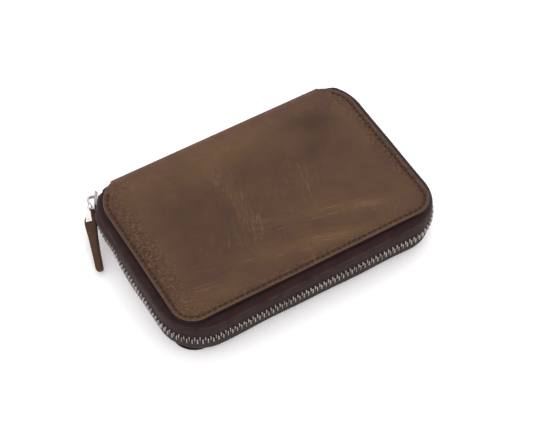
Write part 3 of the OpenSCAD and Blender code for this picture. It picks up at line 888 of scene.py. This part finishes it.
# degrees before the tapes' end and past the last teeth, and how far a top stop laps over its tape's edge
stopSet = {"beforeEnd": 2.3, "pastTeeth": 6.5, "lap": 0.3}
topAt = -runLength(chainShape["out"], chainShape["sweep"], chainShape["tapeTurn"] - stopSet["beforeEnd"])
bottomAt = runLength(chainShape["out"], chainShape["sweep"], chainShape["bottomTurn"] + stopSet["pastTeeth"])
middleZ, edgeGap, lap = chainShape["height"], chainShape["tapeEdge"], stopSet["lap"]
stopPiece("topStopUpper", topAt, stopForm, True, middleZ + edgeGap - lap, "top_stop_upper", "front")
stopPiece("topStopLower", topAt, stopForm, False, middleZ - edgeGap + lap, "top_stop_lower", "back")
stopPiece("bottomStop", bottomAt, bottomForm, True, middleZ, "bottom_stop", "back")
print("teeth and stops made")

sliderForm = {
    "plate": 1.1, "roomIn": 1.95, "roomOut": 1.4,  # its plates, and the room inside and outside the chain's middle
    "outline": [(5.5, -3.4), (5.5, 3.4), (3.2, 4.1), (-4.4, 4.3), (-5.5, 3.6), (-5.5, 1.4), (-4.6, 0.0),
                (-5.5, -1.4), (-5.5, -3.6), (-4.4, -4.3), (3.2, -4.1)],
    "bridgeHalf": 4.0, "bridgeAt": 0.0, "bridgeRise": 3.4, "bridgeWidth": 1.1, "bridgeThick": 0.5,
    "height": 14.0, "yaw": 11.5, "forward": 1.3, "inward": 1.35,  # how the body stands, a little askew
    "pivotInward": 0.8,
}
sliderAt = -runLength(chainShape["out"], chainShape["sweep"], chainShape["sliderTurn"])
sliderX, sliderY, sliderHeading = (
    float(v[0]) for v in edgeRun(np.array([sliderAt]), chainShape["plainOut"], chainShape["sweep"]))


# The slider's own directions to the frame's: first number opens the zip, second goes up, third goes outwards.
def onSlider(points, yaw, forward, inward):
    c, n = math.cos(sliderHeading), math.sin(sliderHeading)
    tilt = math.radians(yaw)
    ahead = points[..., 0] * math.cos(tilt) + points[..., 2] * math.sin(tilt) + forward
    out = points[..., 2] * math.cos(tilt) - points[..., 0] * math.sin(tilt) - inward
    up = points[..., 1] + sliderForm["height"]
    return np.stack([sliderX + ahead * c + out * n, sliderY + ahead * n - out * c, up], -1)


def onBody(points):
    return onSlider(points, sliderForm["yaw"], sliderForm["forward"], sliderForm["inward"])


# Puts several closed tubes of different sizes into one mesh.
def joinTubes(parts):
    points, quads, caps, start = [], [], [], 0
    for rings in parts:
        p, q, c = manyTubes(rings)
        if signedVolume(p - p.mean(0), q) < 0:
            q, c = q[:, ::-1], [cap[::-1] for cap in c]
        points.append(p)
        quads.append(q + start)
        caps += [[v + start for v in cap] for cap in c]
        start += len(p)
    return np.concatenate(points), np.concatenate(quads), caps


def makeSlider(form):
    outline = roundCorners(form["outline"], 0.8)
    parts = [slabRings(outline, form["roomOut"], form["roomOut"] + form["plate"], 0.45),
             slabRings(outline, -form["roomIn"] - form["plate"], -form["roomIn"], 0.45)]
    wallLine = roundCorners([(4.0, 3.2), (4.0, 4.0), (-4.0, 4.2), (-4.0, 3.3)], 0.3, 3)
    for flip in (1, -1):
        wall = wallLine * (1, flip)
        parts.append(slabRings(wall, 0.62, form["roomOut"] + 0.1, 0.15))
        parts.append(slabRings(wall, -form["roomIn"] - 0.1, -1.22, 0.15))
    wedge = roundCorners([(-1.6, 0), (-2.6, 0.7), (-4.6, 0.7), (-4.6, -0.7), (-2.6, -0.7)], 0.3, 3)
    parts.append(slabRings(wedge, -form["roomIn"] - 0.1, form["roomOut"] + 0.1, 0.1))
    points, quads, caps = joinTubes([onBody(part) for part in parts])
    return makePiece("sliderBody", points, quads, sliderMetal, caps, sharp=35)


# A bar along a line: a ring of the given half sizes stands square to the line at each of its points.
def barAlong(line, sideAxis, halfSide, halfThick, around=10):
    line = np.asarray(line, float)
    step = np.gradient(line, axis=0)
    step /= np.linalg.norm(step, axis=1, keepdims=True)
    sideAxis = np.asarray(sideAxis, float)
    other = np.cross(step, sideAxis)
    turn = np.linspace(0, 2 * math.pi, around, endpoint=False)
    power = 0.6
    c = np.sign(np.cos(turn)) * np.abs(np.cos(turn)) ** power
    s = np.sign(np.sin(turn)) * np.abs(np.sin(turn)) ** power
    return line[:, None] + halfSide * c[:, None] * sideAxis + halfThick * s[:, None] * other[:, None]


def makeBridge(form):
    half, rise, foot = form["bridgeHalf"], form["bridgeRise"], form["roomOut"] + form["plate"]
    line = [(-half, -0.4), (-half, 1.4), (-half + 0.4, rise), (half - 0.4, rise), (half, 1.4), (half, -0.4)]
    line = roundCorners(line, 1.2, 7, closed=False)
    line3 = np.c_[line[:, 0] + form["bridgeAt"], np.zeros(len(line)), line[:, 1] + foot]
    rings = barAlong(line3, (0, 1, 0), form["bridgeWidth"], form["bridgeThick"])
    points, quads, caps = joinTubes([onBody(rings[None])])
    return makePiece("sliderBridge", points, quads, sliderMetal, caps, sharp=45)


sliderBody = makeSlider(sliderForm)
sliderBridge = makeBridge(sliderForm)
for piece, node in ((sliderBody, "slider_body"), (sliderBridge, "slider_bridge")):
    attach(piece, "slider")
    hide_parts(node)
print("slider made")

pullForm = {
    "heading": 247.5, "droop": 18.8, "pivotAhead": 2.6, "pivotOut": 4.45, "wire": 0.45,
    "eyeHalf": 2.4, "eyeEnd": 4.0, "tabThick": 2.2, "bendFrom": 10.0, "tabEnd": 36.5, "bend": 2.0,
    "roll": 22.0,
    "clamp": [(2.6, -1.5), (9.8, -2.4), (9.8, 1.2), (2.6, 0.7)],
    "tab": [(6.6, -2.3), (8.6, -3.5), (11.5, -3.4), (18.0, -2.5), (27.0, -2.0), (35.0, -1.9),
            (36.5, -1.3), (36.5, 1.2), (35.0, 1.9), (27.0, 2.0), (18.0, 2.3), (11.0, 2.8), (6.5, 2.7),
            (4.0, 2.0), (3.4, 0.2)],
}
pivot = onSlider(np.array([pullForm["pivotAhead"], 0.0, pullForm["pivotOut"]]), 0.0, 0.0,
                 sliderForm["pivotInward"])


# The pull's own directions to the frame's: from the pivot to the tab's end, across its width, through it.
def onPull(points):
    turn, droop = math.radians(pullForm["heading"]), math.radians(pullForm["droop"])
    ahead = np.array([math.cos(turn) * math.cos(droop), math.sin(turn) * math.cos(droop), -math.sin(droop)])
    level = np.array([-math.sin(turn), math.cos(turn), 0.0])
    roll = math.radians(pullForm["roll"])
    wide = level * math.cos(roll) + np.cross(ahead, level) * math.sin(roll)
    up = np.cross(ahead, wide)
    return pivot + points[..., :1] * ahead + points[..., 1:2] * wide + points[..., 2:3] * up


def makePull(form):
    h, end = form["eyeHalf"], form["eyeEnd"]
    eyeLine = roundCorners([(end, 0, -h), (0, 0, -h), (0, 0, h), (end, 0, h)], 2.2, 9, closed=False)
    eye = barAlong(eyeLine, (0, 1, 0), form["wire"] * 1.4, form["wire"], around=8)
    clampRings = slabRings(roundCorners(form["clamp"], 0.3, 3), -1.6, 1.6, 0.25)
    neck = slabRings(roundCorners([(2.6, -0.8), (4.4, -0.8), (4.4, 0.8), (2.6, 0.8)], 0.3, 3), -2.9, 2.9, 0.3)
    points, quads, caps = joinTubes([onPull(part) for part in (eye[None], clampRings, neck)])
    clamp = makePiece("pullClamp", points, quads, clampMetal, caps, sharp=35)
    rings = slabRings(roundCorners(form["tab"], 1.2), -form["tabThick"] / 2, form["tabThick"] / 2, 0.4, steps=4)
    high, side = rings[0, :, :, 2].copy(), rings[0, :, :, 1].copy()
    swing = np.clip((rings[..., 0] - form["bendFrom"]) / (form["tabEnd"] - form["bendFrom"]), 0, None)
    rings[..., 1] += form["bend"] * swing ** 1.6
    points, quads, caps = manyTubes(onPull(rings))
    # the tab's patina paints it darker all over and darker still along one side: painted shade; its rim takes the
    # burnish tone with its painted highlight
    values = {"edgeFar": np.where(np.abs(high) > 0.75, 1.2, 0.2), "wear": np.full(high.size, 0.15),
              "patinaAndShade": -0.10 - 0.30 * smoothStep(side, 0.6, 2.2)}
    return clamp, makePiece("pullTab", points, quads, hideMaterial, caps, values, 50)


pullClamp, pullTab = makePull(pullForm)
for piece, node, slotName in ((pullClamp, "pull_clamp", "slider_metal"), (pullTab, "pull_tab", "hide")):
    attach(piece, "pull")
    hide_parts(node)
print("pull made")


# A flat sheet's points: each lies at the sheet's level, less its depth on the side that it faces.
def flatPlace(level, facing):
    return lambda x, q, depth: np.stack([x, q, level - facing * depth], -1)


sheetForm = {"inset": 0.8, "edge": 0.3, "edgeShare": 0.4, "across": 70, "step": 2.0}


def innerSheet(name, node, body, facing):
    low, high = boxOf(node)
    thick = high[2] - low[2]
    edge = min(sheetForm["edge"], thick * sheetForm["edgeShare"])
    inset = sheetForm["inset"] + edge
    corner = pouchShape["zipCorner"] - chainShape["plainOut"] - inset
    rows = coverRows(inset, corner, high[1] - edge, sheetForm["step"])
    half = hideHalf(rows, inset, corner)
    pocket = low[0] > -halfLength + 3
    left = np.maximum(-half, low[0] + edge) if pocket else -half
    mouth = low[0] if pocket else -1000.0  # a lining has no mouth, so its line is far away
    level = high[2] if facing > 0 else low[2]
    sheet = leatherSheet(name, rows, left, half, sheetForm["across"], flatPlace(level, facing), thick, edge,
                         liningMaterial, lambda x, q, far: np.zeros_like(x), False, 0.0,
                         {"mouthFar": lambda x, q: x - mouth})
    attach(sheet, body)
    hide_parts(node)


innerSheet("frontLining", "front_lining", "front", -1)
innerSheet("backLining", "back_lining", "back", 1)
for number in range(1, 5):
    innerSheet(f"cardPocket{number}", f"card_pocket_{number}", "front", -1)
innerSheet("passportPocket", "passport_pocket", "back", 1)
innerSheet("notePocket", "note_pocket", "back", 1)

# these keep their CAD shape and only get a finish
plainParts = {"front_board": boardMaterial, "back_board": boardMaterial, "spine_board": boardMaterial,
              "spine_lining": liningMaterial, "zip_tail_left": tapeMaterial, "zip_tail_right": tapeMaterial}
for node, material in plainParts.items():
    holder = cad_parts[node]
    holder.data.materials.clear()
    holder.data.materials.append(material)
print("inside made")

tableForm = {"size": 6.0, "tone": (0.93, 0.92, 0.925), "haze": 0.985, "glow": 0.22,
             "glowTone": (1.0, 0.985, 0.99, 1.0)}
# places and sizes in metres, power in watts
lightSet = {"keyLight": {"place": (0.55, 0.55, 1.1), "size": 0.9, "power": 3.2},
            "fillLight": {"place": (-0.9, -0.5, 0.9), "size": 1.0, "power": 0.8}}
roomSet = {"tone": (1.0, 1.0, 1.0, 1.0), "strength": 1.12}


def makeTable(form):
    bench = NodeBench("paleTable")
    haze = bench.noise(3, 3, 0.5)
    tone = form["tone"]
    colour = bench.mix(haze, tone, tuple(form["haze"] * c for c in tone))
    material = bench.finish(colour, 0.7, bench.bump(bench.noise(400, 2), 0.00002, 0.2), Specular_IOR_Level=0.2,
                            Emission_Color=form["glowTone"], Emission_Strength=form["glow"])
    half = form["size"] / 2
    mesh = bpy.data.meshes.new("paleTable")
    corners = [(-half, -half, 0), (half, -half, 0), (half, half, 0), (-half, half, 0)]
    mesh.from_pydata(corners, [], [(0, 1, 2, 3)])
    table = bpy.data.objects.new("paleTable", mesh)
    bpy.context.scene.collection.objects.link(table)
    mesh.materials.append(material)


# A round soft light that points at the middle of the table.
def softLight(name, form):
    data = bpy.data.lights.new(name, "AREA")
    data.shape = "DISK"
    data.size = form["size"]
    data.energy = form["power"]
    light = bpy.data.objects.new(name, data)
    light.location = form["place"]
    light.rotation_euler = (-Vector(form["place"])).to_track_quat("-Z", "Y").to_euler()
    bpy.context.scene.collection.objects.link(light)


def softRoom(form):
    world = bpy.data.worlds.new("softRoom")
    world.use_nodes = True
    background = world.node_tree.nodes["Background"]
    background.inputs["Color"].default_value = form["tone"]
    background.inputs["Strength"].default_value = form["strength"]
    bpy.context.scene.world = world


makeTable(tableForm)
for name, form in lightSet.items():
    softLight(name, form)
softRoom(roomSet)
bpy.context.scene.view_settings.view_transform = "Standard"
print("table and light made")
